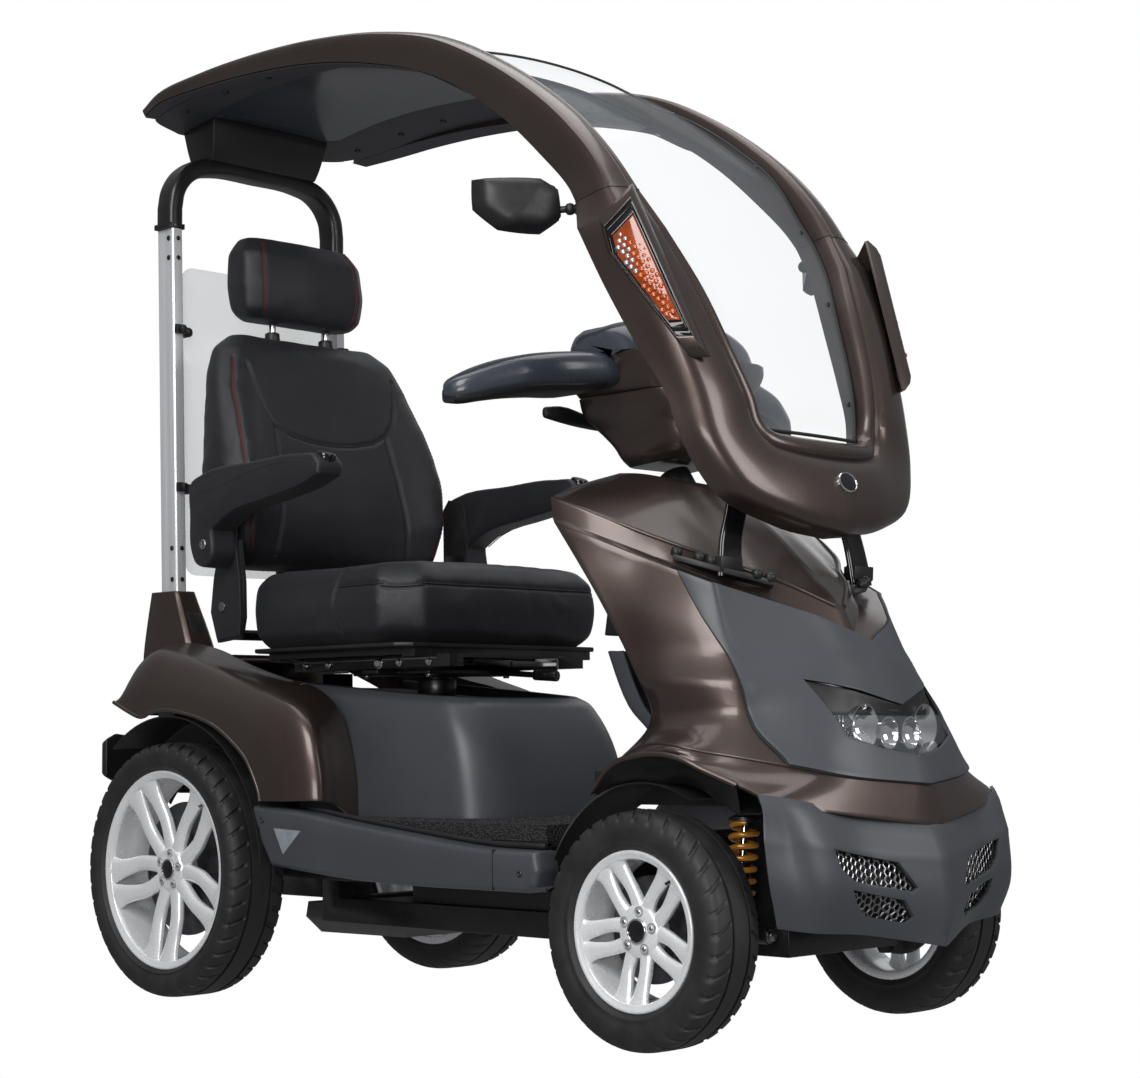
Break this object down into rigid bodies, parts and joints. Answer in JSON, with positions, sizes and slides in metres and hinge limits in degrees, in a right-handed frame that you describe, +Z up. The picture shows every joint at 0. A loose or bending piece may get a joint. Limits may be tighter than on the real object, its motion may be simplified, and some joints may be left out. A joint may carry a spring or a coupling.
{
  "type": "mobility scooter",
  "caption": "Four-wheel mobility scooter with a roof canopy, clear front and back screens, a swivelling armchair seat, a tilting steering tiller and sprung wheels.",
  "frame": {"origin": "middle of the footprint, on the floor under the tyres", "axes": "+Z up, front towards -Y, +X towards the rider's left"},
  "size_m": [0.7848, 1.599, 1.59],
  "materials": {
    "body_paint": "metallic bronze-brown paint on moulded plastic, satin-gloss",
    "panel_grey": "blue-grey satin moulded plastic",
    "black_plastic": "black textured plastic",
    "frame_black": "black powder coat",
    "alloy": "silver painted cast alloy",
    "anodised": "satin silver anodised extrusion",
    "tyre": "black rubber with moulded tread",
    "mat": "coarse black non-slip mat",
    "leather": "black grained leather",
    "clear": "clear polycarbonate",
    "lens": "clear lamp lens",
    "amber": "translucent amber lens",
    "spring_orange": "amber-orange powder coat",
    "steel_dark": "black painted steel",
    "battery": "black battery case",
    "liner": "charcoal textured roof moulding"
  },
  "bodies": {
    "chassis": {"chassis_frame": "frame_black", "floor_deck": "black_plastic", "floor_mat": "mat", "sill_right": "panel_grey", "sill_left": "panel_grey", "rear_fairing": "body_paint", "seat_box_cover": "panel_grey", "battery_pack": "battery", "rear_bumper": "black_plastic", "leg_shield": "body_paint", "nose_panel": "panel_grey", "knee_panel": "panel_grey", "front_bumper": "panel_grey", "headlight": "lens", "mast_post_right": "anodised", "mast_post_left": "anodised", "mast_hoop": "frame_black", "rear_screen": "clear", "canopy_roof": "liner", "canopy_frame": "body_paint", "windscreen": "clear", "canopy_strut_right": "frame_black", "canopy_strut_left": "frame_black", "signal_lamp_right": "amber", "signal_lamp_left": "amber", "seat_post": "frame_black", "front_spring_right": "spring_orange", "front_spring_left": "spring_orange", "rear_spring_right": "spring_orange", "rear_spring_left": "spring_orange"},
    "mirror_r": {"mirror_right": "black_plastic"},
    "mirror_l": {"mirror_left": "black_plastic"},
    "seat_swivel_base": {"swivel_plate": "frame_black"},
    "swivel_lock_lever": {"swivel_lever": "black_plastic"},
    "seat": {"seat_frame": "frame_black", "seat_cushion": "leather"},
    "seat_slide_lever": {"slide_lever": "black_plastic"},
    "backrest": {"back_frame": "frame_black", "seat_back": "leather"},
    "head_restraint": {"headrest": "leather"},
    "arm_r": {"armrest_right": "black_plastic"},
    "arm_l": {"armrest_left": "black_plastic"},
    "column": {"steering_column": "frame_black"},
    "tiller": {"tiller_shroud": "body_paint", "handlebar": "panel_grey", "dash_hood": "panel_grey"},
    "throttle": {"throttle_lever": "black_plastic"},
    "susp_r": {"front_arm_right": "frame_black"},
    "susp_l": {"front_arm_left": "frame_black"},
    "hub_r": {"knuckle_right": "steel_dark"},
    "hub_l": {"knuckle_left": "steel_dark"},
    "wheel_fr": {"front_tyre_right": "tyre", "front_rim_right": "alloy"},
    "wheel_fl": {"front_tyre_left": "tyre", "front_rim_left": "alloy"},
    "transaxle": {"rear_axle": "frame_black"},
    "wheel_rr": {"rear_tyre_right": "tyre", "rear_rim_right": "alloy"},
    "wheel_rl": {"rear_tyre_left": "tyre", "rear_rim_left": "alloy"}
  },
  "joints": [
    {"name": "steering", "type": "hinge", "parent": "chassis", "child": "column", "pos_m": [0, -0.3155, 0.8], "axis": [0, 0.4201, 0.9075], "range_deg": [-35, 35]},
    {"name": "tiller_tilt", "type": "hinge", "parent": "column", "child": "tiller", "pos_m": [0, -0.3155, 0.8], "axis": [1, 0, 0], "range_deg": [-6, 6]},
    {"name": "throttle_rock", "type": "hinge", "parent": "tiller", "child": "throttle", "pos_m": [0, -0.1645, 0.922], "axis": [0, 0.4201, 0.9075], "range_deg": [-8, 8], "stiffness_Nm_per_rad": 3},
    {"name": "front_suspension_right", "type": "hinge", "parent": "chassis", "child": "susp_r", "pos_m": [-0.142, -0.5035, 0.15], "axis": [0, 1, 0], "range_deg": [0, 8], "stiffness_Nm_per_rad": 500, "springref_deg": -11.46, "deforming": ["front_spring_right"]},
    {"name": "front_suspension_left", "type": "hinge", "parent": "chassis", "child": "susp_l", "pos_m": [0.142, -0.5035, 0.15], "axis": [0, -1, 0], "range_deg": [0, 8], "stiffness_Nm_per_rad": 500, "springref_deg": -11.46, "deforming": ["front_spring_left"]},
    {"name": "steer_right_wheel", "type": "hinge", "parent": "susp_r", "child": "hub_r", "pos_m": [-0.245, -0.5035, 0.163], "axis": [0, 0, 1], "range_deg": [-32, 32]},
    {"name": "steer_left_wheel", "type": "hinge", "parent": "susp_l", "child": "hub_l", "pos_m": [0.245, -0.5035, 0.163], "axis": [0, 0, 1], "range_deg": [-32, 32]},
    {"name": "front_wheel_spin_right", "type": "hinge", "parent": "hub_r", "child": "wheel_fr", "pos_m": [-0.284, -0.5035, 0.163], "axis": [1, 0, 0], "continuous": true},
    {"name": "front_wheel_spin_left", "type": "hinge", "parent": "hub_l", "child": "wheel_fl", "pos_m": [0.284, -0.5035, 0.163], "axis": [1, 0, 0], "continuous": true},
    {"name": "rear_suspension", "type": "hinge", "parent": "chassis", "child": "transaxle", "pos_m": [0, 0.2825, 0.205], "axis": [1, 0, 0], "range_deg": [0, 5.5], "stiffness_Nm_per_rad": 2500, "springref_deg": -12.61, "deforming": ["rear_spring_right", "rear_spring_left"]},
    {"name": "rear_wheel_spin_right", "type": "hinge", "parent": "transaxle", "child": "wheel_rr", "pos_m": [-0.3, 0.5445, 0.211], "axis": [1, 0, 0], "continuous": true},
    {"name": "rear_wheel_spin_left", "type": "hinge", "parent": "transaxle", "child": "wheel_rl", "pos_m": [0.3, 0.5445, 0.211], "axis": [1, 0, 0], "continuous": true},
    {"name": "seat_swivel", "type": "hinge", "parent": "chassis", "child": "seat_swivel_base", "pos_m": [0, 0.2425, 0.535], "axis": [0, 0, 1], "range_deg": [-90, 90]},
    {"name": "swivel_lock_release", "type": "hinge", "parent": "seat_swivel_base", "child": "swivel_lock_lever", "pos_m": [0.04, 0.145, 0.535], "axis": [0, 0, 1], "range_deg": [-18, 0], "stiffness_Nm_per_rad": 1.5, "springref_deg": 5.73},
    {"name": "seat_slide", "type": "slide", "parent": "seat_swivel_base", "child": "seat", "axis": [0, -1, 0], "range_m": [0, 0.12]},
    {"name": "slide_lock_release", "type": "hinge", "parent": "seat", "child": "seat_slide_lever", "pos_m": [-0.1, 0.0385, 0.548], "axis": [-1, 0, 0], "range_deg": [0, 8], "stiffness_Nm_per_rad": 1.5, "springref_deg": -5.73},
    {"name": "backrest_fold", "type": "hinge", "parent": "seat", "child": "backrest", "pos_m": [0, 0.4845, 0.65], "axis": [1, 0, 0], "range_deg": [0, 45]},
    {"name": "headrest_height", "type": "slide", "parent": "backrest", "child": "head_restraint", "axis": [0, 0, 1], "range_m": [0, 0.06]},
    {"name": "armrest_lift_right", "type": "hinge", "parent": "backrest", "child": "arm_r", "pos_m": [-0.2915, 0.4715, 0.736], "axis": [-1, 0, 0], "range_deg": [0, 92]},
    {"name": "armrest_lift_left", "type": "hinge", "parent": "backrest", "child": "arm_l", "pos_m": [0.2915, 0.4715, 0.736], "axis": [-1, 0, 0], "range_deg": [0, 92]},
    {"name": "mirror_fold_right", "type": "hinge", "parent": "chassis", "child": "mirror_r", "pos_m": [-0.28, -0.3555, 1.189], "axis": [0, 0, 1], "range_deg": [-55, 10]},
    {"name": "mirror_fold_left", "type": "hinge", "parent": "chassis", "child": "mirror_l", "pos_m": [0.28, -0.3555, 1.189], "axis": [0, 0, 1], "range_deg": [-10, 55]}
  ],
  "couplings": [
    {"joint": "steer_right_wheel", "follows": "steering", "ratio": 0.9},
    {"joint": "steer_left_wheel", "follows": "steering", "ratio": 0.9}
  ]
}
